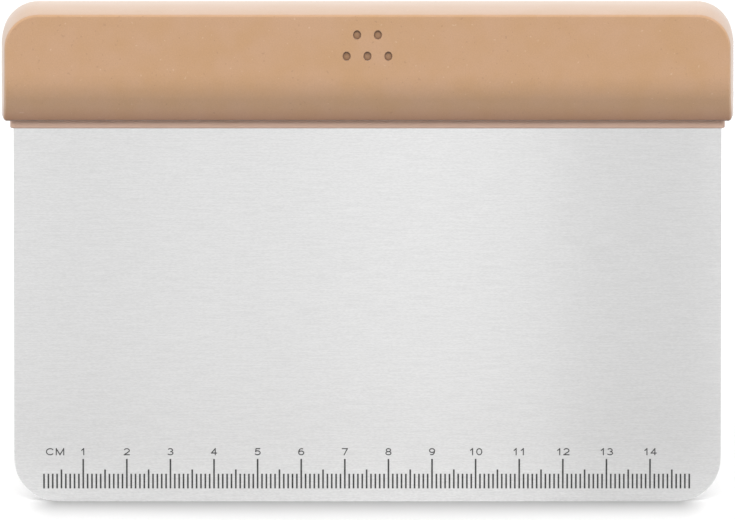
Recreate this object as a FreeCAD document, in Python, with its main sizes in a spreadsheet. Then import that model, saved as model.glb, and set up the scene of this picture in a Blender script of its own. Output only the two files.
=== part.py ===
import FreeCAD, Part
import math
import os

import Sketcher
from FreeCAD import Matrix, Placement, Rotation, Vector

# A bench scraper: a stainless sheet blade with a ruler, a rigid core moulded on to the blade's
# tang, and a soft grip moulded over the core. It stands upright on the blade's edge.
# X runs along the edge, Y through the thickness with the ruler on the -Y side, and Z up.
# The origin is the middle of the bottom edge. All sizes are in millimetres and degrees.

DIMENSIONS = {
    # The blade: one sheet, as wide as the edge, narrowing to a tang inside the handle.
    "blade_width": 162.0,
    "blade_exposed": 86.8,
    "blade_thickness": 0.8,
    "blade_corner": 10.0,
    "blade_embed": 1.3,
    "edge_break": 0.15,
    "tang_width": 148.0,
    "tang_height": 16.0,
    "tang_corner": 3.0,
    "tang_hole": 6.0,
    "tang_hole_rise": 8.8,
    "tang_hole_pitch": 28.0,
    "tang_hole_count": 5,
    # The rigid core: a lip that shows below the grip, an undercut neck and a spine.
    "lip_width": 163.5,
    "lip_depth": 6.0,
    "lip_height": 2.0,
    "lip_corner": 1.3,
    "lip_edge": 0.3,
    "core_width": 161.8,
    "neck_depth": 4.8,
    "neck_height": 2.0,
    "core_depth": 11.4,
    "core_flare": 6.5,
    "core_height": 23.0,
    "core_corner": 6.0,
    "window_width": 14.0,
    "window_height": 3.4,
    "window_rise": 17.6,
    "window_pitch": 36.0,
    "window_count": 4,
    # The soft grip: a block with rounded top corners, undercut below on both sides. Its top and
    # ends are drafted both ways from the parting line at half its depth, less to the rear.
    "grip_width": 167.4,
    "grip_depth": 19.4,
    "grip_height": 25.9,
    "grip_corner": 8.5,
    "front_draft": 4.8,
    "rear_draft": 0.6,
    "grip_edge": 1.0,
    "edge_relief": 0.14,
    "foot_depth": 10.4,
    "foot_edge": 1.0,
    "undercut_height": 8.0,
    "undercut_blend": 12.0,
    "overcut": 4.0,
    "dimple_width": 1.78,
    "dimple_height": 2.06,
    "dimple_depth": 0.7,
    "dimple_rim": 0.12,
    "dimple_pitch": 4.76,
    "dimple_rise": 15.62,
    "dimple_row_gap": 4.9,
    # The ruler: cured ink on the front of the blade, from the first millimetre to the last.
    "ruler_inset": 5.8,
    "ruler_length": 150,
    "ruler_baseline": 3.0,
    "ink_thickness": 0.03,
    "mark_width": 0.38,
    "millimetre_mark": 3.4,
    "half_mark": 4.4,
    "centimetre_mark": 6.85,
    "numeral_baseline": 10.7,
    "numeral_height": 1.65,
    "numeral_width": 1.4,
    "numeral_gap": 0.25,
    "letter_width": 1.95,
    "letter_gap": 0.3,
    "unit_centre": 3.55,
    "stroke_width": 0.24,
}

# Centrelines of the scale's characters in a box one unit wide and one unit high.
# A bar is two end points. A bend is a centre, two radii and a start and end angle.
GLYPHS = {
    "0": {"bends": [((0.5, 0.5), (0.5, 0.5), 0, 360)]},
    "1": {"bars": [((0.6, 0.0), (0.6, 1.0)), ((0.6, 1.0), (0.2, 0.72))]},
    "2": {
        "bars": [((0.91, 0.52), (0.0, 0.0)), ((0.0, 0.0), (1.0, 0.0))],
        "bends": [((0.5, 0.7), (0.5, 0.3), -36, 165)],
    },
    "3": {
        "bends": [
            ((0.47, 0.75), (0.44, 0.25), -90, 155),
            ((0.47, 0.26), (0.53, 0.26), -155, 90),
        ],
    },
    "4": {
        "bars": [
            ((0.74, 0.0), (0.74, 1.0)),
            ((0.74, 1.0), (0.0, 0.28)),
            ((0.0, 0.28), (1.0, 0.28)),
        ],
    },
    "5": {
        "bars": [((0.92, 1.0), (0.2, 1.0)), ((0.2, 1.0), (0.09, 0.5))],
        "bends": [((0.47, 0.32), (0.53, 0.32), -155, 142)],
    },
    "6": {
        "bends": [
            ((0.5, 0.31), (0.5, 0.31), 0, 360),
            ((0.58, 0.4), (0.58, 0.6), 62, 190),
        ],
    },
    "7": {"bars": [((0.0, 1.0), (1.0, 1.0)), ((1.0, 1.0), (0.36, 0.0))]},
    "8": {
        "bends": [
            ((0.5, 0.76), (0.42, 0.24), 0, 360),
            ((0.5, 0.26), (0.5, 0.26), 0, 360),
        ],
    },
    "9": {
        "bends": [
            ((0.5, 0.69), (0.5, 0.31), 0, 360),
            ((0.42, 0.6), (0.58, 0.6), -118, 10),
        ],
    },
    "C": {"bends": [((0.5, 0.5), (0.5, 0.5), 38, 322)]},
    "M": {
        "bars": [
            ((0.0, 0.0), (0.0, 1.0)),
            ((0.0, 1.0), (0.5, 0.0)),
            ((0.5, 0.0), (1.0, 1.0)),
            ((1.0, 1.0), (1.0, 0.0)),
        ],
    },
}

# Sketcher's numbers for the sketch's own origin, and for the points of a line, arc or circle.
ORIGIN_POINT = (-1, 1)
START, END, CENTRE = 1, 2, 3

UP = Vector(0, 0, 1)


# ---- The document and its sheet ----

def make_sheet(doc):
    sheet = doc.addObject("Spreadsheet::Sheet", "Dimensions")
    for row, (name, size) in enumerate(DIMENSIONS.items(), start=1):
        sheet.set(f"A{row}", name)
        sheet.set(f"B{row}", str(size))
        sheet.setAlias(f"B{row}", name)
    doc.recompute()
    return sheet


def bound(formula):
    """A formula in the sheet's names, written as another object has to write it."""
    words = formula.split()
    return " ".join(f"Dimensions.{word}" if word in DIMENSIONS else word for word in words)


def size(sheet, formula):
    """The present value of a formula in the sheet's names."""
    value = sheet.evalExpression(formula)
    return float(value)


# ---- Bodies, sketches and features ----

def make_body(doc, name):
    body = doc.addObject("PartDesign::Body", name)
    body.Label = name
    return body


def origin_feature(body, role):
    return next(feature for feature in body.Origin.OriginFeatures if feature.Role == role)


def make_sketch(body, name, plane, offset=None):
    """A sketch on one of the body's own origin planes, moved off it by a formula."""
    sketch = body.newObject("Sketcher::SketchObject", name)
    sketch.AttachmentSupport = [(origin_feature(body, plane), "")]
    sketch.MapMode = "FlatFace"
    if offset:
        sketch.setExpression("AttachmentOffset.Base.z", bound(offset))
    return sketch


def drive(sketch, name, formula, kind, *geometry):
    """Add a named dimension to a sketch and bind it to the sheet."""
    start_value = size(sketch.Document.Dimensions, formula)
    index = sketch.addConstraint(Sketcher.Constraint(kind, *geometry, start_value))
    sketch.renameConstraint(index, name)
    sketch.setExpression(f"Constraints.{name}", bound(formula))


def add_segment(sketch, start, end):
    return sketch.addGeometry(Part.LineSegment(Vector(*start, 0), Vector(*end, 0)), False)


def join(sketch, first, first_end, second, second_end):
    sketch.addConstraint(
        Sketcher.Constraint("Coincident", first, first_end, second, second_end))


def draw_rectangle(sketch, width, height, base=None):
    """A rectangle centred on the sketch's upright axis; with no base it is centred both ways."""
    sheet = sketch.Document.Dimensions
    half = size(sheet, width) / 2
    low = size(sheet, base) if base else -size(sheet, height) / 2
    high = low + size(sheet, height)
    corners = [(-half, low), (half, low), (half, high), (-half, high)]
    edges = [add_segment(sketch, corners[i], corners[(i + 1) % 4]) for i in range(4)]
    for index, edge in enumerate(edges):
        join(sketch, edge, END, edges[(index + 1) % 4], START)
    bottom, right, top, left = edges
    for edge in (bottom, top):
        sketch.addConstraint(Sketcher.Constraint("Horizontal", edge))
    for edge in (right, left):
        sketch.addConstraint(Sketcher.Constraint("Vertical", edge))
    drive(sketch, "width", width, "DistanceX", bottom, START, bottom, END)
    drive(sketch, "height", height, "DistanceY", right, START, right, END)
    drive(sketch, "half_width", f"( {width} ) / 2", "DistanceX", *ORIGIN_POINT, bottom, END)
    if base is None:
        drive(sketch, "half_height", f"( {height} ) / 2", "DistanceY", *ORIGIN_POINT, top, START)
    elif low == 0:
        sketch.addConstraint(Sketcher.Constraint("PointOnObject", bottom, START, -1))
    else:
        drive(sketch, "base", base, "DistanceY", *ORIGIN_POINT, bottom, START)


def pad(body, name, sketch, length, symmetric=False):
    feature = body.newObject("PartDesign::Pad", name)
    feature.Profile = sketch
    feature.setExpression("Length", bound(length))
    if symmetric:
        feature.SideType = "Symmetric"
    body.Document.recompute()
    return feature


def pocket(body, name, sketch, depth):
    """Cut a sketch into the body to a depth, or right through with no depth."""
    volume_before = body.Shape.Volume
    feature = body.newObject("PartDesign::Pocket", name)
    feature.Profile = sketch
    if depth:
        feature.setExpression("Length", bound(depth))
    else:
        feature.Type = "ThroughAll"
        feature.SideType = "Symmetric"
    body.Document.recompute()
    if body.Shape.Volume >= volume_before:
        raise RuntimeError(f"{name} removed nothing")
    return feature


def repeat_along_x(body, name, feature, pitch, count):
    """Repeat a feature in a row along +X."""
    pattern = body.newObject("PartDesign::LinearPattern", name)
    pattern.Originals = [feature]
    pattern.Direction = (origin_feature(body, "X_Axis"), [""])
    pattern.Mode = "Spacing"
    pattern.setExpression("Offset", bound(pitch))
    pattern.setExpression("Occurrences", bound(count))
    body.Tip = pattern
    body.Document.recompute()
    return pattern


def mirror_to_rear(body, name, feature):
    """Repeat a feature on the other side of the XZ plane."""
    mirrored = body.newObject("PartDesign::Mirrored", name)
    mirrored.Originals = [feature]
    mirrored.MirrorPlane = (origin_feature(body, "XZ_Plane"), [""])
    body.Tip = mirrored
    body.Document.recompute()
    return mirrored


def dress_edges(body, kind, name, measure, formula, is_wanted):
    """Put a dress-up feature on every edge of the body's tip that the test accepts."""
    base = body.Tip
    names = [f"Edge{i}" for i, edge in enumerate(base.Shape.Edges, start=1) if is_wanted(edge)]
    if not names:
        raise RuntimeError(f"{name} found no edges")
    feature = body.newObject(kind, name)
    feature.Base = (base, names)
    feature.setExpression(measure, bound(formula))
    body.Document.recompute()


def fillet(body, name, radius, is_wanted):
    dress_edges(body, "PartDesign::Fillet", name, "Radius", radius, is_wanted)


def chamfer(body, name, width, is_wanted):
    dress_edges(body, "PartDesign::Chamfer", name, "Size", width, is_wanted)


# ---- Tests that pick edges by where they lie ----

def near(first, second):
    return abs(first - second) < 1e-4


def is_corner_edge(edge, x_size, z_level):
    """A straight edge through the thickness, at a distance from the middle and at a height."""
    box = edge.BoundBox
    return near(box.XLength, 0) and near(box.ZLength, 0) \
        and near(abs(box.XMax), x_size) and near(box.ZMax, z_level)


def is_blade_rim(edge, y_level, z_limit):
    """An edge of the sheet's front or rear face, on its sides, corners or bottom."""
    box = edge.BoundBox
    return near(box.YLength, 0) and near(abs(box.YMax), y_level) \
        and box.ZMax < z_limit + 1e-4 and box.ZMin < z_limit - 1e-4


def is_at_height(edge, z_level):
    return near(edge.BoundBox.ZLength, 0) and near(edge.BoundBox.ZMax, z_level)


# ---- The blade ----

def make_blade(doc, sheet):
    body = make_body(doc, "blade")
    sheet_sketch = make_sketch(body, "sheet_outline", "XZ_Plane")
    draw_rectangle(sheet_sketch, "blade_width", "blade_exposed + blade_embed", "0")
    pad(body, "sheet", sheet_sketch, "blade_thickness", symmetric=True)

    tang_sketch = make_sketch(body, "tang_outline", "XZ_Plane")
    draw_rectangle(tang_sketch, "tang_width", "tang_height", "blade_exposed + blade_embed")
    pad(body, "tang", tang_sketch, "blade_thickness", symmetric=True)

    shoulder = size(sheet, "blade_exposed + blade_embed")
    tang_top = shoulder + size(sheet, "tang_height")
    fillet(body, "blade_corners", "blade_corner",
           lambda edge: is_corner_edge(edge, size(sheet, "blade_width / 2"), 0))
    fillet(body, "tang_corners", "tang_corner",
           lambda edge: is_corner_edge(edge, size(sheet, "tang_width / 2"), tang_top))

    hole_sketch = make_sketch(body, "tang_hole_outline", "XZ_Plane")
    hole = hole_sketch.addGeometry(
        Part.Circle(Vector(-1, shoulder, 0), UP, size(sheet, "tang_hole / 2")), False)
    drive(hole_sketch, "diameter", "tang_hole", "Diameter", hole)
    drive(hole_sketch, "across", "tang_hole_pitch * ( tang_hole_count - 1 ) / 2",
          "DistanceX", hole, CENTRE, *ORIGIN_POINT)
    drive(hole_sketch, "rise", "blade_exposed + blade_embed + tang_hole_rise",
          "DistanceY", *ORIGIN_POINT, hole, CENTRE)
    first_hole = pocket(body, "tang_hole_cut", hole_sketch, None)
    repeat_along_x(body, "tang_holes", first_hole, "tang_hole_pitch", "tang_hole_count")

    half_thickness = size(sheet, "blade_thickness / 2")
    chamfer(body, "broken_edges", "edge_break",
            lambda edge: is_blade_rim(edge, half_thickness, shoulder))
    return body


# ---- The rigid core ----

def make_core_form(doc, sheet):
    """The core's outer form, before the blade's slot is cut out of it."""
    body = make_body(doc, "core_form")
    lip_sketch = make_sketch(body, "lip_outline", "XY_Plane", "blade_exposed")
    draw_rectangle(lip_sketch, "lip_width", "lip_depth")
    pad(body, "lip", lip_sketch, "lip_height")
    lip_bottom = size(sheet, "blade_exposed")
    fillet(body, "lip_corners", "lip_corner", lambda edge: edge.BoundBox.ZLength > 1)
    fillet(body, "lip_rim", "lip_edge", lambda edge: is_at_height(edge, lip_bottom))

    spine_sketch = make_sketch(body, "spine_outline", "YZ_Plane")
    draw_spine(spine_sketch)
    pad(body, "spine", spine_sketch, "core_width", symmetric=True)
    core_top = size(sheet, "blade_exposed + lip_height + core_height")
    fillet(body, "core_corners", "core_corner",
           lambda edge: is_corner_edge(edge, size(sheet, "core_width / 2"), core_top))

    window_sketch = make_sketch(body, "window_outline", "XZ_Plane")
    draw_window(window_sketch)
    window = pocket(body, "window_cut", window_sketch, None)
    repeat_along_x(body, "windows", window, "window_pitch", "window_count")
    return body


def draw_spine(sketch):
    """The core's section above the lip: a narrow neck that flares out to a thick spine."""
    sheet = sketch.Document.Dimensions
    levels = {
        "foot": ("neck_depth / 2", "blade_exposed + lip_height"),
        "neck": ("neck_depth / 2", "blade_exposed + lip_height + neck_height"),
        "flare": ("core_depth / 2", "blade_exposed + lip_height + core_flare"),
        "top": ("core_depth / 2", "blade_exposed + lip_height + core_height"),
    }
    right_side = [(name, 1) for name in levels]
    left_side = [(name, -1) for name in reversed(levels)]
    outline = right_side + left_side
    points = []
    for name, side in outline:
        across, up = levels[name]
        points.append((side * size(sheet, across), size(sheet, up)))
    count = len(points)
    edges = [add_segment(sketch, points[i], points[(i + 1) % count]) for i in range(count)]
    for index, (name, side) in enumerate(outline):
        join(sketch, edges[index - 1], END, edges[index], START)
        across, up = levels[name]
        corner = (edges[index], START)
        span = (*ORIGIN_POINT, *corner) if side > 0 else (*corner, *ORIGIN_POINT)
        side_name = "right" if side > 0 else "left"
        drive(sketch, f"{name}_{side_name}_across", across, "DistanceX", *span)
        drive(sketch, f"{name}_{side_name}_up", up, "DistanceY", *ORIGIN_POINT, *corner)


def draw_window(sketch):
    """A round-ended slot for the first window in the row."""
    sheet = sketch.Document.Dimensions
    radius = size(sheet, "window_height / 2")
    middle = -size(sheet, "window_pitch * ( window_count - 1 ) / 2")
    half_straight = size(sheet, "window_width / 2") - radius
    rise = size(sheet, "blade_exposed + lip_height + window_rise")
    left, right = middle - half_straight, middle + half_straight
    top = add_segment(sketch, (left, rise + radius), (right, rise + radius))
    bottom = add_segment(sketch, (right, rise - radius), (left, rise - radius))
    right_circle = Part.Circle(Vector(right, rise, 0), UP, radius)
    left_circle = Part.Circle(Vector(left, rise, 0), UP, radius)
    quarter = math.pi / 2
    right_end = sketch.addGeometry(Part.ArcOfCircle(right_circle, -quarter, quarter), False)
    left_end = sketch.addGeometry(Part.ArcOfCircle(left_circle, quarter, 3 * quarter), False)
    for line, line_end, arc, arc_end in (
            (top, END, right_end, END), (bottom, START, right_end, START),
            (bottom, END, left_end, END), (top, START, left_end, START)):
        sketch.addConstraint(Sketcher.Constraint("Tangent", line, line_end, arc, arc_end))
    sketch.addConstraint(Sketcher.Constraint("Horizontal", top))
    sketch.addConstraint(Sketcher.Constraint("Horizontal", bottom))
    drive(sketch, "radius", "window_height / 2", "Radius", right_end)
    drive(sketch, "straight", "window_width - window_height",
          "DistanceX", left_end, CENTRE, right_end, CENTRE)
    drive(sketch, "across",
          "window_pitch * ( window_count - 1 ) / 2 - ( window_width - window_height ) / 2",
          "DistanceX", right_end, CENTRE, *ORIGIN_POINT)
    drive(sketch, "rise", "blade_exposed + lip_height + window_rise",
          "DistanceY", *ORIGIN_POINT, right_end, CENTRE)


# ---- The soft grip ----

def make_grip_form(doc, sheet):
    """The grip's outer form, before the core's space is cut out of it.

    The flat faces are cut back a little into the rounded outline, which leaves a crisp edge
    where they meet it.
    """
    body = make_body(doc, "grip_form")
    grip_bottom = size(sheet, "blade_exposed + lip_height")
    block_sketch = make_sketch(body, "block_outline", "XZ_Plane")
    draw_block(block_sketch)
    pad_drafted(body, "block", block_sketch, "grip_depth / 2 + overcut",
                "front_draft", "rear_draft")
    foot_sketch = make_sketch(body, "foot_cut_outline", "XY_Plane", "blade_exposed + lip_height")
    draw_rectangle(foot_sketch, "grip_width + overcut", "grip_depth + 4 * overcut")
    pocket(body, "foot_cut", foot_sketch, "2 * overcut")

    cut_front_and_rear(body, "rough", "edge_relief")
    fillet(body, "grip_outline", "grip_edge", make_outline_test(sheet))
    cut_front_and_rear(body, "finished", None)
    fillet(body, "foot_edges", "foot_edge", lambda edge: is_at_height(edge, grip_bottom))

    dimple_sketch = make_sketch(body, "dimple_outlines", "XZ_Plane", "grip_depth / 2")
    draw_dimples(dimple_sketch)
    pocket(body, "dimples", dimple_sketch, "dimple_depth")
    front = -size(sheet, "grip_depth / 2")
    fillet(body, "dimple_rims", "dimple_rim",
           lambda edge: edge.Curve.TypeId == "Part::GeomEllipse"
           and near(edge.BoundBox.YMin, front) and near(edge.BoundBox.YLength, 0))
    return body


def draw_block(sketch):
    """The grip's widest outline: two rounded top corners, and a bottom below the real foot."""
    sheet = sketch.Document.Dimensions
    side = size(sheet, "grip_width / 2")
    low = size(sheet, "blade_exposed + lip_height - overcut")
    top = size(sheet, "blade_exposed + lip_height + grip_height")
    radius = size(sheet, "grip_corner")
    quarter = math.pi / 2
    right_circle = Part.Circle(Vector(side - radius, top - radius, 0), UP, radius)
    left_circle = Part.Circle(Vector(radius - side, top - radius, 0), UP, radius)
    bottom = add_segment(sketch, (-side, low), (side, low))
    right = add_segment(sketch, (side, low), (side, top - radius))
    right_corner = sketch.addGeometry(Part.ArcOfCircle(right_circle, 0, quarter), False)
    crown = add_segment(sketch, (side - radius, top), (radius - side, top))
    left_corner = sketch.addGeometry(
        Part.ArcOfCircle(left_circle, quarter, 2 * quarter), False)
    left = add_segment(sketch, (-side, top - radius), (-side, low))
    join(sketch, bottom, END, right, START)
    join(sketch, left, END, bottom, START)
    for line, line_end, arc, arc_end in (
            (right, END, right_corner, START), (crown, START, right_corner, END),
            (crown, END, left_corner, START), (left, START, left_corner, END)):
        sketch.addConstraint(Sketcher.Constraint("Tangent", line, line_end, arc, arc_end))
    for line in (bottom, crown):
        sketch.addConstraint(Sketcher.Constraint("Horizontal", line))
    for line in (right, left):
        sketch.addConstraint(Sketcher.Constraint("Vertical", line))
    drive(sketch, "width", "grip_width", "DistanceX", bottom, START, bottom, END)
    drive(sketch, "half_width", "grip_width / 2", "DistanceX", *ORIGIN_POINT, bottom, END)
    drive(sketch, "low", "blade_exposed + lip_height - overcut",
          "DistanceY", *ORIGIN_POINT, bottom, END)
    drive(sketch, "top", "blade_exposed + lip_height + grip_height",
          "DistanceY", *ORIGIN_POINT, crown, START)
    drive(sketch, "right_radius", "grip_corner", "Radius", right_corner)
    drive(sketch, "left_radius", "grip_corner", "Radius", left_corner)


def pad_drafted(body, name, sketch, length, front_draft, rear_draft):
    """Pad a sketch to the front and the rear, narrowing away from it by a draft angle each."""
    feature = body.newObject("PartDesign::Pad", name)
    feature.Profile = sketch
    feature.SideType = "Two sides"
    feature.setExpression("Length", bound(length))
    feature.setExpression("Length2", bound(length))
    feature.setExpression("TaperAngle", f"-{bound(front_draft)}")
    feature.setExpression("TaperAngle2", f"-{bound(rear_draft)}")
    body.Document.recompute()


def make_outline_test(sheet):
    """A test for the edges round the front and rear faces, on the drafted sides and top."""
    front_fall = math.tan(math.radians(size(sheet, "front_draft")))
    rear_fall = math.tan(math.radians(size(sheet, "rear_draft")))
    side = size(sheet, "grip_width / 2")
    bottom = size(sheet, "blade_exposed + lip_height")
    top = bottom + size(sheet, "grip_height")

    def is_outside(point):
        drop = max(-point.y * front_fall, point.y * rear_fall)
        return near(abs(point.x), side - drop) or near(point.z, top - drop)

    def is_wanted(edge):
        box = edge.BoundBox
        along_outline = box.YLength < box.ZLength + box.XLength
        at_foot = near(box.ZLength, 0) and near(box.ZMin, bottom)
        on_middle = near(box.YLength, 0) and near(box.YMin, 0)
        return along_outline and not at_foot and not on_middle \
            and all(is_outside(vertex.Point) for vertex in edge.Vertexes)

    return is_wanted


def cut_front_and_rear(body, stage, proud):
    """Shape the grip's front and rear faces, left proud of their final place by a dimension."""
    sketch = make_sketch(body, f"{stage}_face_outline", "YZ_Plane")
    draw_front(sketch, f" + {proud}" if proud else "")
    front = pocket(body, f"{stage}_front", sketch, None)
    mirror_to_rear(body, f"{stage}_rear", front)


def draw_front(sketch, proud):
    """What is cut away from the grip's front: a flat face that blends down into a slope.

    Two construction points fix the slope: the grip's foot, and the crease where the slope would
    meet the flat face with no blend.
    """
    sheet = sketch.Document.Dimensions
    margin = size(sheet, "overcut")
    bottom = size(sheet, "blade_exposed + lip_height")
    top_level = bottom + size(sheet, "grip_height") + margin
    rise = size(sheet, "undercut_height")
    inset = size(sheet, "( grip_depth - foot_depth ) / 2")
    foot = -size(sheet, f"foot_depth / 2{proud}")
    front = -size(sheet, f"grip_depth / 2{proud}")
    side = -size(sheet, "grip_depth / 2 + 2 * overcut")
    crease = bottom + rise
    radius = size(sheet, "undercut_blend")
    slope_angle = math.atan2(inset, rise)
    reach = radius * math.tan(slope_angle / 2)

    low_inner = (foot + margin * math.tan(slope_angle), bottom - margin)
    slope_top = (front + reach * math.sin(slope_angle), crease - reach * math.cos(slope_angle))
    blend_top = (front, crease + reach)
    blend_circle = Part.Circle(Vector(front + radius, crease + reach, 0), UP, radius)

    foot_point = sketch.addGeometry(Part.Point(Vector(foot, bottom, 0)), True)
    crease_point = sketch.addGeometry(Part.Point(Vector(front, crease, 0)), True)
    slope = add_segment(sketch, low_inner, slope_top)
    blend = sketch.addGeometry(
        Part.ArcOfCircle(blend_circle, math.pi, math.pi + slope_angle), False)
    face = add_segment(sketch, blend_top, (front, top_level))
    top = add_segment(sketch, (front, top_level), (side, top_level))
    outer = add_segment(sketch, (side, top_level), (side, bottom - margin))
    low = add_segment(sketch, (side, bottom - margin), low_inner)

    sketch.addConstraint(Sketcher.Constraint("Tangent", slope, END, blend, END))
    sketch.addConstraint(Sketcher.Constraint("Tangent", blend, START, face, START))
    join(sketch, face, END, top, START)
    join(sketch, top, END, outer, START)
    join(sketch, outer, END, low, START)
    join(sketch, low, END, slope, START)
    sketch.addConstraint(Sketcher.Constraint("Vertical", face))
    sketch.addConstraint(Sketcher.Constraint("Horizontal", top))
    sketch.addConstraint(Sketcher.Constraint("Vertical", outer))
    sketch.addConstraint(Sketcher.Constraint("Horizontal", low))
    sketch.addConstraint(Sketcher.Constraint("PointOnObject", foot_point, START, slope))
    sketch.addConstraint(Sketcher.Constraint("PointOnObject", crease_point, START, slope))
    grip_bottom = "blade_exposed + lip_height"
    drive(sketch, "foot_across", f"foot_depth / 2{proud}",
          "DistanceX", foot_point, START, *ORIGIN_POINT)
    drive(sketch, "foot_up", grip_bottom, "DistanceY", *ORIGIN_POINT, foot_point, START)
    drive(sketch, "crease_across", f"grip_depth / 2{proud}",
          "DistanceX", crease_point, START, *ORIGIN_POINT)
    drive(sketch, "crease_up", f"{grip_bottom} + undercut_height",
          "DistanceY", *ORIGIN_POINT, crease_point, START)
    drive(sketch, "blend_radius", "undercut_blend", "Radius", blend)
    drive(sketch, "face_across", f"grip_depth / 2{proud}", "DistanceX", face, END, *ORIGIN_POINT)
    drive(sketch, "outer_across", "grip_depth / 2 + 2 * overcut",
          "DistanceX", outer, END, *ORIGIN_POINT)
    drive(sketch, "low_up", f"{grip_bottom} - overcut", "DistanceY", *ORIGIN_POINT, low, START)
    drive(sketch, "top_up", f"{grip_bottom} + grip_height + overcut",
          "DistanceY", *ORIGIN_POINT, top, START)


def draw_dimples(sketch):
    """Two dimples over three, as upright ellipses on the grip's front."""
    rows = [
        ("lower", [-1, 0, 1], "blade_exposed + lip_height + dimple_rise"),
        ("upper", [-0.5, 0.5], "blade_exposed + lip_height + dimple_rise + dimple_row_gap"),
    ]
    pitch = size(sketch.Document.Dimensions, "dimple_pitch")
    for row, steps, rise in rows:
        for index, step in enumerate(steps):
            name = f"{row}_{index}"
            dimple = add_ellipse(sketch, name, step * pitch, rise)
            if step == 0:
                sketch.addConstraint(Sketcher.Constraint("PointOnObject", dimple, CENTRE, -2))
            else:
                span = (*ORIGIN_POINT, dimple, CENTRE) if step > 0 \
                    else (dimple, CENTRE, *ORIGIN_POINT)
                drive(sketch, f"{name}_across", f"{abs(step)} * dimple_pitch",
                      "DistanceX", *span)


def add_ellipse(sketch, name, across, rise):
    """An upright ellipse of a dimple's size, bound in all but its place across."""
    sheet = sketch.Document.Dimensions
    centre = Vector(across, size(sheet, rise), 0)
    tall = Vector(0, size(sheet, "dimple_height / 2"), 0)
    wide = Vector(size(sheet, "dimple_width / 2"), 0, 0)
    ellipse = sketch.addGeometry(Part.Ellipse(centre + tall, centre + wide, centre), False)
    sketch.exposeInternalGeometry(ellipse)
    long_axis, short_axis = ellipse + 1, ellipse + 2
    sketch.addConstraint(Sketcher.Constraint("Vertical", long_axis))
    drive(sketch, f"{name}_height", "dimple_height", "Distance", long_axis)
    drive(sketch, f"{name}_width", "dimple_width", "Distance", short_axis)
    drive(sketch, f"{name}_up", rise, "DistanceY", *ORIGIN_POINT, ellipse, CENTRE)
    return ellipse


# ---- Joining the moulded pieces ----

def cut_out(doc, name, base, tool):
    """A piece moulded around another: its own form less the other's."""
    piece = doc.addObject("Part::Cut", name)
    piece.Label = name
    piece.Base = base
    piece.Tool = tool
    doc.recompute()
    if piece.Shape.Volume >= base.Shape.Volume:
        raise RuntimeError(f"{name} lost nothing to {tool.Name}")
    return piece


# ---- The ruler ----
# Each group of marks is laid out flat, as on paper: X along the scale from its zero, Y up the
# blade from the edge and Z out of the paper. A placement then stands it on the blade's front.

def ruler_placement(sheet):
    zero = -size(sheet, "blade_width / 2 - ruler_inset")
    front = -size(sheet, "blade_thickness / 2")
    return Placement(Vector(zero, front, 0), Rotation(Vector(1, 0, 0), 90))


def make_marks(doc, sheet, name, solids):
    group = doc.addObject("Part::Feature", name)
    group.Label = name
    group.Shape = Part.makeCompound(solids)
    group.Placement = ruler_placement(sheet)
    return group


def ticks(sheet, positions, length):
    """Upright bars of ink at distances along the scale."""
    width = size(sheet, "mark_width")
    baseline = size(sheet, "ruler_baseline")
    thickness = size(sheet, "ink_thickness")
    return [
        Part.makeBox(width, size(sheet, length), thickness,
                     Vector(position - width / 2, baseline, 0))
        for position in positions
    ]


def bar_solid(start, end, stroke, thickness):
    """A straight stroke, which runs half its width past each end point."""
    run = end.sub(start)
    direction = Vector(run).normalize()
    reach = direction * (stroke / 2)
    side = Vector(-direction.y, direction.x, 0) * (stroke / 2)
    first = start - reach
    last = end + reach
    corners = [first - side, last - side, last + side, first + side, first - side]
    return Part.Face(Part.makePolygon(corners)).extrude(UP * thickness)


def ellipse_arc(centre, radii, start, end):
    """Part of an ellipse whose axes lie along X and Y."""
    arc = Part.makeCircle(1, Vector(), UP, start, end)
    stretch = Matrix()
    stretch.scale(radii[0], radii[1], 1)
    stretch.move(centre)
    return arc.transformGeometry(stretch).Edges[0]


def bend_solid(centre, radii, start, end, stroke, thickness):
    """A curved stroke, between two ellipses a stroke's width apart."""
    grow = stroke / 2
    outer = ellipse_arc(centre, (radii[0] + grow, radii[1] + grow), start, end)
    inner = ellipse_arc(centre, (radii[0] - grow, radii[1] - grow), start, end)
    if end - start == 360:
        face = Part.Face(Part.Wire(outer)).cut(Part.Face(Part.Wire(inner)))
        return face.extrude(UP * thickness)
    sides = [
        Part.makeLine(outer.valueAt(outer.FirstParameter), inner.valueAt(inner.FirstParameter)),
        Part.makeLine(outer.valueAt(outer.LastParameter), inner.valueAt(inner.LastParameter)),
    ]
    outline = Part.Wire(Part.__sortEdges__([outer, inner, *sides]))
    return Part.Face(outline).extrude(UP * thickness)


def glyph_solid(sheet, character, corner, width):
    """One character as a single solid, with the lower left corner of its box at a point."""
    stroke = size(sheet, "stroke_width")
    thickness = size(sheet, "ink_thickness")
    span = Vector(width - stroke, size(sheet, "numeral_height") - stroke, 0)
    corner = corner + Vector(stroke / 2, stroke / 2, 0)

    def place(point):
        return corner + Vector(point[0] * span.x, point[1] * span.y, 0)

    strokes = [bar_solid(place(start), place(end), stroke, thickness)
               for start, end in GLYPHS[character].get("bars", [])]
    for centre, radii, start, end in GLYPHS[character].get("bends", []):
        scaled = (radii[0] * span.x, radii[1] * span.y)
        strokes.append(bend_solid(place(centre), scaled, start, end, stroke, thickness))
    shape = strokes[0]
    if len(strokes) > 1:
        shape = strokes[0].multiFuse(strokes[1:]).removeSplitter()
    if len(shape.Solids) != 1:
        raise RuntimeError(f"The strokes of {character} don't join")
    return shape.Solids[0]


def text_solids(sheet, text, centre, width, gap):
    """A short line of characters, centred at a distance along the scale."""
    whole = len(text) * width + (len(text) - 1) * gap
    baseline = size(sheet, "numeral_baseline")
    return [
        glyph_solid(sheet, character,
                    Vector(centre - whole / 2 + index * (width + gap), baseline, 0), width)
        for index, character in enumerate(text)
    ]


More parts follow.
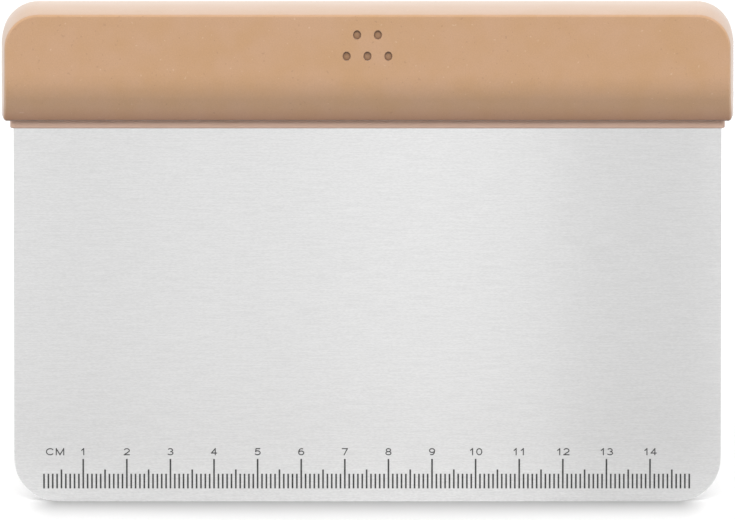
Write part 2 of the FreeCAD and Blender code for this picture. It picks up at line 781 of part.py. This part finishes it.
def make_ruler(doc, sheet):
    length = int(size(sheet, "ruler_length"))
    centimetres = range(10, length, 10)
    halves = range(5, length, 10)
    millimetres = [position for position in range(1, length) if position % 5]
    numerals = []
    for position in centimetres:
        numerals += text_solids(sheet, str(position // 10), position,
                                size(sheet, "numeral_width"), size(sheet, "numeral_gap"))
    unit = text_solids(sheet, "CM", size(sheet, "unit_centre"),
                       size(sheet, "letter_width"), size(sheet, "letter_gap"))
    return [
        make_marks(doc, sheet, "ruler_millimetre_marks",
                   ticks(sheet, millimetres, "millimetre_mark")),
        make_marks(doc, sheet, "ruler_half_centimetre_marks",
                   ticks(sheet, halves, "half_mark")),
        make_marks(doc, sheet, "ruler_centimetre_marks",
                   ticks(sheet, centimetres, "centimetre_mark")),
        make_marks(doc, sheet, "ruler_numerals", numerals),
        make_marks(doc, sheet, "ruler_unit_mark", unit),
    ]


# ---- The whole scraper ----

def check_document(doc):
    for item in doc.Objects:
        if "Invalid" in item.State or "Error" in item.State:
            raise RuntimeError(f"{item.Name} is {item.State}")


def export(piece):
    shape = piece.Shape
    if shape.isNull() or not shape.isValid():
        raise RuntimeError(f"{piece.Label} has no valid shape")
    shape.exportStep(f"parts/{piece.Label}.step")
    print(f"{piece.Label}: {len(shape.Solids)} solids, {shape.Volume:.1f} mm3")


def main():
    os.makedirs("parts", exist_ok=True)
    doc = FreeCAD.newDocument("bench_scraper")
    sheet = make_sheet(doc)
    blade = make_blade(doc, sheet)
    core_form = make_core_form(doc, sheet)
    grip_form = make_grip_form(doc, sheet)
    handle_core = cut_out(doc, "handle_core", core_form, blade)
    grip_cover = cut_out(doc, "grip_cover", grip_form, core_form)
    ruler = make_ruler(doc, sheet)
    doc.recompute()
    check_document(doc)
    for piece in [blade, handle_core, grip_cover, *ruler]:
        export(piece)


main()
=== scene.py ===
import math

import bpy
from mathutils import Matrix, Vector


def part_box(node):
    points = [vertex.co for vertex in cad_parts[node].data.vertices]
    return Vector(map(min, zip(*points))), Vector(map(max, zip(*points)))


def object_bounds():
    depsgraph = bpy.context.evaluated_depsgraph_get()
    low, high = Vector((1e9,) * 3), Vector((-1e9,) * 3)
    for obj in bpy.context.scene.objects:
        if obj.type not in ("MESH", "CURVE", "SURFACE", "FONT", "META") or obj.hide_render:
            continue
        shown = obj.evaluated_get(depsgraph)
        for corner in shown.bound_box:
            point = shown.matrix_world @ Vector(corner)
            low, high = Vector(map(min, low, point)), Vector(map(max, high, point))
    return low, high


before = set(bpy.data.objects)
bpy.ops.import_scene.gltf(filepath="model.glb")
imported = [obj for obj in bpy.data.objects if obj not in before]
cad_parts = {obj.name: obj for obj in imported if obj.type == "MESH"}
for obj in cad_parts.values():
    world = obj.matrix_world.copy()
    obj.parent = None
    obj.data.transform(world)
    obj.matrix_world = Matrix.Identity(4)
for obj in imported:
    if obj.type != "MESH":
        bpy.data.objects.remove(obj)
cad_low, cad_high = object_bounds()

# ---- Sizes from the frame, in metres ----
centre = (cad_low + cad_high) / 2
width = cad_high.x - cad_low.x
height = cad_high.z - cad_low.z
blade_low, blade_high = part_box("blade")
lip_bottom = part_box("handle_core")[0].z
grip_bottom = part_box("grip_cover")[0].z

# ---- The view: from the front and a little above, through a long lens ----
VIEW_ELEVATION = math.radians(8.6)
VIEW_DISTANCE = 5
VIEW_MARGIN = 1.0057    # the width seen, in widths of the object
AIM_HEIGHT = 0.4876     # where the camera aims, in heights of the object
SENSOR_WIDTH = 36
CLIP_END = 200

# ---- The floor ----
FLOOR_SIZE = 80
FLOOR_SEEN = (0.99, 0.99, 0.99)
FLOOR_BOUNCE = (0.17, 0.17, 0.17)   # darker, so that it throws little light back up
FLOOR_ROUGHNESS = 0.04
FLOOR_IOR = 1.05
BLACK = (0.0, 0.0, 0.0)
WHITE = (1.0, 1.0, 1.0)
CORNER_RADIUS = 0.01    # of the blade's bottom corners

# The soft painted shade by the blade's edge: how far it reaches, how fast and how much it darkens,
# and how much shorter it is past the blade's corners and behind the blade.
CONTACT_REACH = 0.03
CONTACT_FALLOFF = 1.5
CONTACT_SHADE = 0.57
SHORTER_PAST_CORNERS = 3.0
SHORTER_BEHIND = 4.0

# ---- The light ----
WALL_BRIGHTNESS = 0.95
CEILING_BRIGHTNESS = 0.65
WALL_TOP = 0.15         # both are heights in the sky, from 0 at the horizon to 1 overhead
CEILING_START = 0.45
LIGHT_DISTANCE = 6

# ---- The steel ----
STEEL_DARK = (0.632, 0.632, 0.632)
STEEL_LIGHT = (0.735, 0.735, 0.735)
SHORT_SCRATCHES = (1500, 1500, 6000)
LONG_SCRATCHES = (120, 120, 3000)
SHORT_SHARE = 0.6

# Broad bands of painted reflection across the blade: how far across from the left, and how bright.
PAINTED_REFLECTION_BANDS = [
    (0.0, 0.93), (0.1, 0.89), (0.26, 0.95), (0.36, 0.94), (0.5, 0.99),
    (0.62, 1.0), (0.74, 0.95), (0.82, 0.86), (0.95, 0.83), (1.0, 0.9),
]

# The strip above the edge is painted brighter, which makes up for the light it loses near the floor.
STRIP_HEIGHT = 0.021
STRIP_FALLOFF = 2.5
STRIP_GAIN = 1.215

# ---- The grip ----
# How steep its top and ends are, in metres per metre: the drafts they are built with,
# and the one even bulge that they look like.
FRONT_DRAFT = math.tan(math.radians(4.8))
REAR_DRAFT = math.tan(math.radians(0.6))
CROWN_LEAN = 0.021
CROWN_CURVE = 6.2

# The colours of painted shade that darken it in its dimples, by the joint with the core, and down its
# foot.
HOLLOW_PAINTED_SHADE = (0.42, 0.32, 0.23)
HOLLOW_REACH = 0.0012
JOINT_PAINTED_SHADE = (0.3, 0.22, 0.16)
JOINT_REACH = 0.008
FOOT_PAINTED_SHADE = (0.66, 0.53, 0.53)
FOOT_HEIGHT = 0.0052
FOOT_FALLOFF = 2.2

FINE_RELIEF = 0.00001   # the height of brushing and grain, in metres


# ---- Shader helpers ----

def add_node(tree, kind, **settings):
    """A shader node; settings name its properties or, failing that, its inputs."""
    node = tree.nodes.new(kind)
    for name, value in settings.items():
        if hasattr(node, name):
            setattr(node, name, value)
        else:
            node.inputs[name.replace("_", " ")].default_value = value
    return node


def start_material(name):
    """A new material with one shader, its tree and that shader."""
    material = bpy.data.materials.new(name)
    material.use_nodes = True
    tree = material.node_tree
    tree.nodes.clear()
    output = tree.nodes.new("ShaderNodeOutputMaterial")
    shader = tree.nodes.new("ShaderNodeBsdfPrincipled")
    tree.links.new(shader.outputs["BSDF"], output.inputs["Surface"])
    return material, tree, shader


def object_coordinates(tree, scale):
    """The object's own coordinates in metres, stretched per axis."""
    source = add_node(tree, "ShaderNodeTexCoord")
    mapping = add_node(tree, "ShaderNodeMapping")
    mapping.inputs["Scale"].default_value = scale
    tree.links.new(source.outputs["Object"], mapping.inputs["Vector"])
    return mapping.outputs["Vector"]


def place(tree):
    """The object's own X, Y and Z in metres, as three outputs."""
    node = add_node(tree, "ShaderNodeSeparateXYZ")
    tree.links.new(object_coordinates(tree, (1, 1, 1)), node.inputs["Vector"])
    return node.outputs


def remap(tree, value, low, high, to_low, to_high):
    """A value's range moved to another, and held within it."""
    node = add_node(tree, "ShaderNodeMapRange")
    node.inputs["From Min"].default_value = low
    node.inputs["From Max"].default_value = high
    node.inputs["To Min"].default_value = to_low
    node.inputs["To Max"].default_value = to_high
    tree.links.new(value, node.inputs["Value"])
    return node.outputs["Result"]


def position(tree, axis, start, end):
    """Where a point lies along an axis: 0 at the start and 1 at the end, both in metres."""
    return remap(tree, place(tree)[axis], start, end, 0.0, 1.0)


def noise(tree, scale, detail=2.0, roughness=0.5):
    """Noise whose grain is one over the scale, in metres along each axis."""
    texture = add_node(tree, "ShaderNodeTexNoise", Scale=1.0, Detail=detail, Roughness=roughness)
    tree.links.new(object_coordinates(tree, scale), texture.inputs["Vector"])
    return texture.outputs["Fac"]


def math_node(tree, operation, first, second=0.0):
    node = add_node(tree, "ShaderNodeMath", operation=operation)
    for socket, value in zip(node.inputs, (first, second)):
        if isinstance(value, (int, float)):
            socket.default_value = value
        else:
            tree.links.new(value, socket)
    return node.outputs["Value"]


def mix_colours(tree, factor, first, second):
    """The first colour where the factor is 0 and the second where it is 1."""
    node = add_node(tree, "ShaderNodeMix", data_type="RGBA")
    tree.links.new(factor, node.inputs["Factor"])
    for socket, value in ((node.inputs[6], first), (node.inputs[7], second)):
        if isinstance(value, tuple):
            socket.default_value = (*value, 1.0)
        else:
            tree.links.new(value, socket)
    return node.outputs[2]


def multiply_colours(tree, first, second):
    node = add_node(tree, "ShaderNodeMix", data_type="RGBA", blend_type="MULTIPLY")
    node.inputs["Factor"].default_value = 1.0
    tree.links.new(first, node.inputs[6])
    tree.links.new(second, node.inputs[7])
    return node.outputs[2]


def mottled(tree, texture, contrast, first, second):
    """Two colours mixed by a noise; the contrast is how far from 0.5 they are pure."""
    return mix_colours(tree, remap(tree, texture, 0.5 - contrast, 0.5 + contrast, 0.0, 1.0), first, second)


def painted_occlusion_shade(tree, reach, colour, only_local):
    """A painted shade: a colour to multiply by where other surfaces lie within reach, and white elsewhere.
    """
    node = add_node(tree, "ShaderNodeAmbientOcclusion", only_local=only_local, Distance=reach)
    return mix_colours(tree, node.outputs["AO"], colour, WHITE)


def colour_ramp(tree, value, stops):
    """A smooth grey ramp from pairs of position and brightness."""
    node = add_node(tree, "ShaderNodeValToRGB")
    ramp = node.color_ramp
    ramp.interpolation = "B_SPLINE"
    while len(ramp.elements) < len(stops):
        ramp.elements.new(0.5)
    for element, (position_on_ramp, brightness) in zip(ramp.elements, stops):
        element.position = position_on_ramp
        element.color = (brightness, brightness, brightness, 1.0)
    tree.links.new(value, node.inputs["Fac"])
    return node.outputs["Color"]


def bump(tree, height_value, distance, normal=None):
    node = add_node(tree, "ShaderNodeBump", Strength=1.0, Distance=distance)
    tree.links.new(height_value, node.inputs["Height"])
    if normal is not None:
        tree.links.new(normal, node.inputs["Normal"])
    return node.outputs["Normal"]


# ---- Materials ----

def brushed_stainless():
    """Fine short scratches along the width, over broad faint bands of painted reflection and a bottom
    strip painted brighter against the light lost near the floor.
    """
    material, tree, shader = start_material("brushed_stainless")
    short = math_node(tree, "MULTIPLY", noise(tree, SHORT_SCRATCHES), SHORT_SHARE)
    long = math_node(tree, "MULTIPLY", noise(tree, LONG_SCRATCHES), 1.0 - SHORT_SHARE)
    streaks = math_node(tree, "ADD", short, long)
    brushed = mottled(tree, streaks, 0.15, STEEL_DARK, STEEL_LIGHT)
    # Painted reflection: broad brighter and darker bands of steel across the width.
    bands = colour_ramp(tree, position(tree, "X", blade_low.x, blade_high.x), PAINTED_REFLECTION_BANDS)
    near_edge = position(tree, "Z", blade_low.z + STRIP_HEIGHT, blade_low.z)
    near_edge = math_node(tree, "POWER", near_edge, STRIP_FALLOFF)
    gain = remap(tree, near_edge, 0.0, 1.0, 1.0, STRIP_GAIN)
    colour = multiply_colours(tree, multiply_colours(tree, brushed, bands), gain)
    tree.links.new(colour, shader.inputs["Base Color"])
    shader.inputs["Metallic"].default_value = 1.0
    tree.links.new(remap(tree, streaks, 0.3, 0.7, 0.3, 0.4), shader.inputs["Roughness"])
    shader.inputs["Anisotropic"].default_value = 0.6
    tangent = add_node(tree, "ShaderNodeTangent", direction_type="RADIAL", axis="Z")
    tree.links.new(tangent.outputs["Tangent"], shader.inputs["Tangent"])
    tree.links.new(bump(tree, streaks, FINE_RELIEF), shader.inputs["Normal"])
    return material


def crown(tree):
    """Shades the two flat drafted halves of the grip's top and ends as one even bulge."""
    depth = place(tree)["Y"]
    roof = math_node(tree, "MINIMUM", math_node(tree, "MULTIPLY", depth, FRONT_DRAFT),
                     math_node(tree, "MULTIPLY", depth, -REAR_DRAFT))
    curve = math_node(tree, "MULTIPLY", math_node(tree, "MULTIPLY", depth, depth), CROWN_CURVE)
    bulge = math_node(tree, "SUBTRACT", math_node(tree, "MULTIPLY", depth, CROWN_LEAN), curve)
    return bump(tree, math_node(tree, "SUBTRACT", bulge, roof), 1.0)


def soft_grip():
    """Tan rubber: a faint mottle, a fine grain, a few specks, a soft bloom, and painted shade in its
    dimples, by the joint with the core and down its foot.
    """
    material, tree, shader = start_material("soft_grip")
    mottle = noise(tree, (120, 120, 120), detail=4, roughness=0.6)
    grain = noise(tree, (3200, 3200, 3200), detail=1)
    specks = noise(tree, (1500, 1500, 1500), detail=0)
    colour = mottled(tree, mottle, 0.15, (0.53, 0.312, 0.165), (0.548, 0.33, 0.195))
    colour = multiply_colours(tree, colour, mottled(tree, grain, 0.2, (0.93, 0.93, 0.93), WHITE))
    dark_specks = remap(tree, specks, 0.8, 0.85, 0.0, 0.25)
    light_specks = remap(tree, specks, 0.17, 0.13, 0.0, 0.2)
    colour = mix_colours(tree, dark_specks, colour, (0.28, 0.15, 0.08))
    colour = mix_colours(tree, light_specks, colour, (0.85, 0.7, 0.55))
    # Painted shade in the dimples, where other surfaces lie close.
    colour = multiply_colours(tree, colour, painted_occlusion_shade(tree, HOLLOW_REACH, HOLLOW_PAINTED_SHADE, only_local=True))
    # Painted shade near the joint with the core, where the parts shade each other.
    colour = multiply_colours(tree, colour, painted_occlusion_shade(tree, JOINT_REACH, JOINT_PAINTED_SHADE, only_local=False))
    # Painted shade, darker towards the bottom of the foot.
    foot = position(tree, "Z", grip_bottom + FOOT_HEIGHT, grip_bottom)
    foot = math_node(tree, "POWER", foot, FOOT_FALLOFF)
    colour = multiply_colours(tree, colour, mix_colours(tree, foot, WHITE, FOOT_PAINTED_SHADE))
    tree.links.new(colour, shader.inputs["Base Color"])
    shader.inputs["Roughness"].default_value = 0.32
    shader.inputs["Sheen Weight"].default_value = 0.33
    shader.inputs["Sheen Roughness"].default_value = 0.5
    tree.links.new(bump(tree, grain, FINE_RELIEF, normal=crown(tree)), shader.inputs["Normal"])
    return material


def core_plastic():
    """Pinkish plastic with a faint mottle, painted paler up its lip, where the grip shades it."""
    material, tree, shader = start_material("core_plastic")
    mottle = noise(tree, (200, 200, 200), detail=3)
    rise = position(tree, "Z", lip_bottom, grip_bottom)
    colour = mix_colours(tree, rise, (0.6, 0.41, 0.32), (0.9, 0.64, 0.5))
    colour = multiply_colours(tree, colour, mottled(tree, mottle, 0.15, (0.96, 0.95, 0.94), WHITE))
    tree.links.new(colour, shader.inputs["Base Color"])
    shader.inputs["Roughness"].default_value = 0.45
    return material


def ruler_ink():
    """Dark grey ink, a little worn."""
    material, tree, shader = start_material("ruler_ink")
    wear = noise(tree, (900, 900, 900), detail=3)
    colour = mottled(tree, wear, 0.2, (0.022, 0.022, 0.023), (0.065, 0.065, 0.065))
    tree.links.new(colour, shader.inputs["Base Color"])
    shader.inputs["Roughness"].default_value = 0.6
    return material


def paint(nodes, material):
    for name in nodes:
        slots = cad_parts[name].data.materials
        for index in range(len(slots)):
            slots[index] = material


# ---- Stage ----

def contact_shade(tree):
    """How dark the floor is by the blade's straight edge: most at the edge and 0 out of reach."""
    across, along, _ = place(tree)
    past_flat = math_node(tree, "SUBTRACT", math_node(tree, "ABSOLUTE", across),
                          blade_high.x - CORNER_RADIUS)
    beyond = math_node(tree, "MULTIPLY", math_node(tree, "MAXIMUM", past_flat, 0.0),
                       SHORTER_PAST_CORNERS)
    away = math_node(tree, "MAXIMUM", math_node(tree, "MULTIPLY", along, -1.0),
                     math_node(tree, "MULTIPLY", along, SHORTER_BEHIND))
    far = math_node(tree, "SQRT", math_node(tree, "ADD", math_node(tree, "POWER", beyond, 2.0),
                                            math_node(tree, "POWER", away, 2.0)))
    near = math_node(tree, "POWER", remap(tree, far, 0.0, CONTACT_REACH, 1.0, 0.0), CONTACT_FALLOFF)
    return math_node(tree, "MULTIPLY", near, CONTACT_SHADE)


def clear_from_below(tree, shader):
    """Makes the underside of a surface invisible, so that the object can be seen from below."""
    clear = add_node(tree, "ShaderNodeBsdfTransparent")
    side = add_node(tree, "ShaderNodeNewGeometry")
    mixer = add_node(tree, "ShaderNodeMixShader")
    output = next(node for node in tree.nodes if node.type == "OUTPUT_MATERIAL")
    tree.links.new(side.outputs["Backfacing"], mixer.inputs[0])
    tree.links.new(shader.outputs["BSDF"], mixer.inputs[1])
    tree.links.new(clear.outputs["BSDF"], mixer.inputs[2])
    tree.links.new(mixer.outputs["Shader"], output.inputs["Surface"])


def make_floor():
    """A glossy pale floor with the contact shade, which the steel doesn't reflect."""
    bpy.ops.mesh.primitive_plane_add(size=FLOOR_SIZE)
    floor = bpy.context.object
    floor.name = "studio_floor"
    material, tree, shader = start_material("studio_floor")
    ray = add_node(tree, "ShaderNodeLightPath").outputs
    unreflected = math_node(tree, "SUBTRACT", 1.0, ray["Is Glossy Ray"])
    shade = math_node(tree, "MULTIPLY", contact_shade(tree), unreflected)
    colour = mix_colours(tree, ray["Is Diffuse Ray"], FLOOR_SEEN, FLOOR_BOUNCE)
    tree.links.new(mix_colours(tree, shade, colour, BLACK), shader.inputs["Base Color"])
    shader.inputs["Roughness"].default_value = FLOOR_ROUGHNESS
    shader.inputs["IOR"].default_value = FLOOR_IOR
    clear_from_below(tree, shader)
    floor.data.materials.append(material)


def make_sky():
    """A studio with bright walls all round and a dimmer ceiling."""
    world = bpy.data.worlds.new("studio")
    world.use_nodes = True
    tree = world.node_tree
    source = add_node(tree, "ShaderNodeTexCoord")
    direction = add_node(tree, "ShaderNodeSeparateXYZ")
    tree.links.new(source.outputs["Generated"], direction.inputs["Vector"])
    strength = remap(tree, direction.outputs["Z"], WALL_TOP, CEILING_START,
                     WALL_BRIGHTNESS, CEILING_BRIGHTNESS)
    background = tree.nodes["Background"]
    tree.links.new(strength, background.inputs["Strength"])
    background.inputs["Color"].default_value = (1, 1, 1, 1)
    bpy.context.scene.world = world


def direction_from(elevation, azimuth):
    """The way from the object to something round it; azimuth 0 is in front and 90 on the right."""
    return Vector((math.sin(azimuth) * math.cos(elevation),
                   -math.cos(azimuth) * math.cos(elevation), math.sin(elevation)))


def aim(thing, target, way, distance):
    """Puts a light or a camera that far from the target, facing it."""
    thing.location = target + way * distance
    thing.rotation_euler = (-way).to_track_quat("-Z", "Y").to_euler()
    bpy.context.scene.collection.objects.link(thing)


def softbox(name, elevation, azimuth, size_x, size_y, brightness):
    """A rectangular light, unseen in reflections; brightness is what it gives a white card."""
    data = bpy.data.lights.new(name, "AREA")
    data.shape = "RECTANGLE"
    data.size = size_x
    data.size_y = size_y
    data.energy = brightness * (math.pi * LIGHT_DISTANCE) ** 2
    light = bpy.data.objects.new(name, data)
    light.visible_camera = False
    light.visible_glossy = False
    aim(light, centre, direction_from(math.radians(elevation), math.radians(azimuth)), LIGHT_DISTANCE)


def make_camera():
    data = bpy.data.cameras.new("camera")
    data.sensor_width = SENSOR_WIDTH
    data.lens = SENSOR_WIDTH * VIEW_DISTANCE / (width * VIEW_MARGIN)
    data.clip_end = CLIP_END
    camera = bpy.data.objects.new("camera", data)
    target = Vector((centre.x, centre.y, cad_low.z + AIM_HEIGHT * height))
    aim(camera, target, direction_from(VIEW_ELEVATION, 0), VIEW_DISTANCE)
    bpy.context.scene.camera = camera


bpy.context.scene.view_settings.view_transform = "Standard"
make_camera()
make_floor()
make_sky()
softbox("key", 34, 0, 4.8, 3.2, 0.82)
softbox("left_fill", 20, -100, 4.0, 4.8, 0.4)
softbox("right_fill", 20, 100, 4.0, 4.8, 0.4)
paint(["blade"], brushed_stainless())
paint(["grip_cover"], soft_grip())
paint(["handle_core"], core_plastic())
paint([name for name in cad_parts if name.startswith("ruler_")], ruler_ink())
